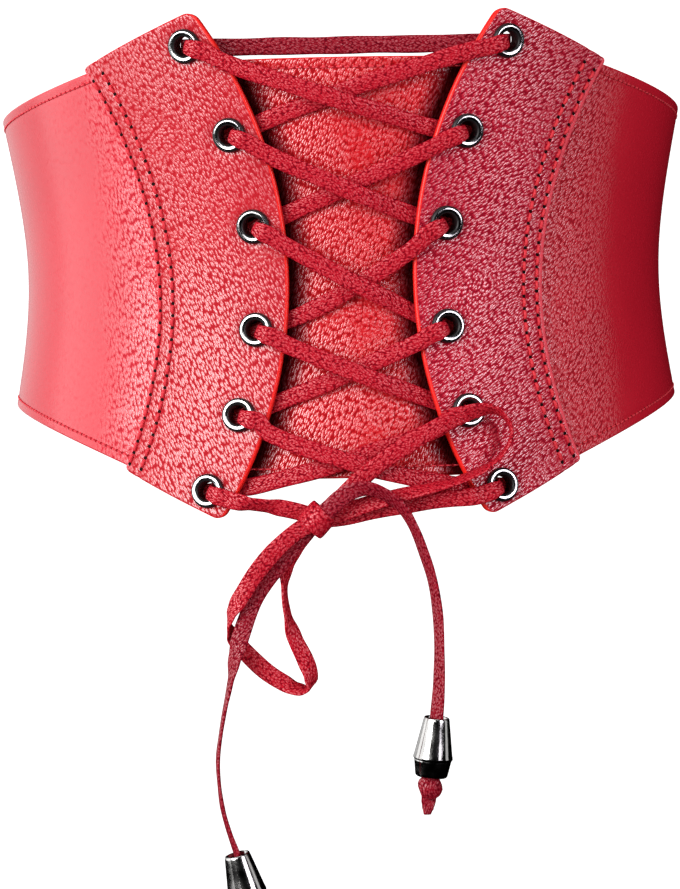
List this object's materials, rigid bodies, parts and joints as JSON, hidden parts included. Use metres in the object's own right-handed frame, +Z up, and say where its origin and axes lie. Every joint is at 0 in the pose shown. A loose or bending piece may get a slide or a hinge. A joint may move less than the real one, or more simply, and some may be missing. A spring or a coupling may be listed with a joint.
{
  "type": "corset belt",
  "caption": "Lace-up corset belt: two bowed leather front panels laced together over a tongue, leather side panels and an elastic back, with a bow whose ends carry metal bells.",
  "frame": {"origin": "centre of the waist opening at the belt's narrowest level, where a waist sits when it is worn", "axes": "+X to the right seen from the front, -Y out of the laced front, +Z up along the waist"},
  "size_m": [0.2236, 0.2296, 0.275],
  "materials": {
    "front_leather": "pebbled, semi-gloss red",
    "side_leather": "pebbled, semi-gloss red",
    "tongue_leather": "pebbled, semi-gloss red",
    "elastic": "woven elastic, matt",
    "clasp": "satin",
    "eyelet": "polished gunmetal",
    "lace": "flat waxed braid",
    "bell": "polished gunmetal"
  },
  "bodies": {
    "root": {"front_panel_left": "front_leather", "front_panel_right": "front_leather", "side_panel_left": "side_leather", "side_panel_right": "side_leather", "tongue": "tongue_leather", "elastic_left": "elastic", "elastic_right": "elastic", "back_clasp": "clasp", "eyelet_left_1": "eyelet", "eyelet_left_2": "eyelet", "eyelet_left_3": "eyelet", "eyelet_left_4": "eyelet", "eyelet_left_5": "eyelet", "eyelet_left_6": "eyelet", "eyelet_right_1": "eyelet", "eyelet_right_2": "eyelet", "eyelet_right_3": "eyelet", "eyelet_right_4": "eyelet", "eyelet_right_5": "eyelet", "eyelet_right_6": "eyelet", "lace_bar": "lace", "lace_left_1": "lace", "lace_left_2": "lace", "lace_left_3": "lace", "lace_left_4": "lace", "lace_left_5": "lace", "lace_left_6": "lace", "lace_right_1": "lace", "lace_right_2": "lace", "lace_right_3": "lace", "lace_right_4": "lace", "lace_right_5": "lace", "lace_right_6": "lace", "bow_knot": "lace", "bow_loop_left": "lace", "bow_loop_right": "lace", "lace_tail_left": "lace", "lace_tail_right": "lace", "end_knot_left": "lace", "end_knot_right": "lace", "bell_left": "bell", "bell_right": "bell"}
  },
  "joints": []
}
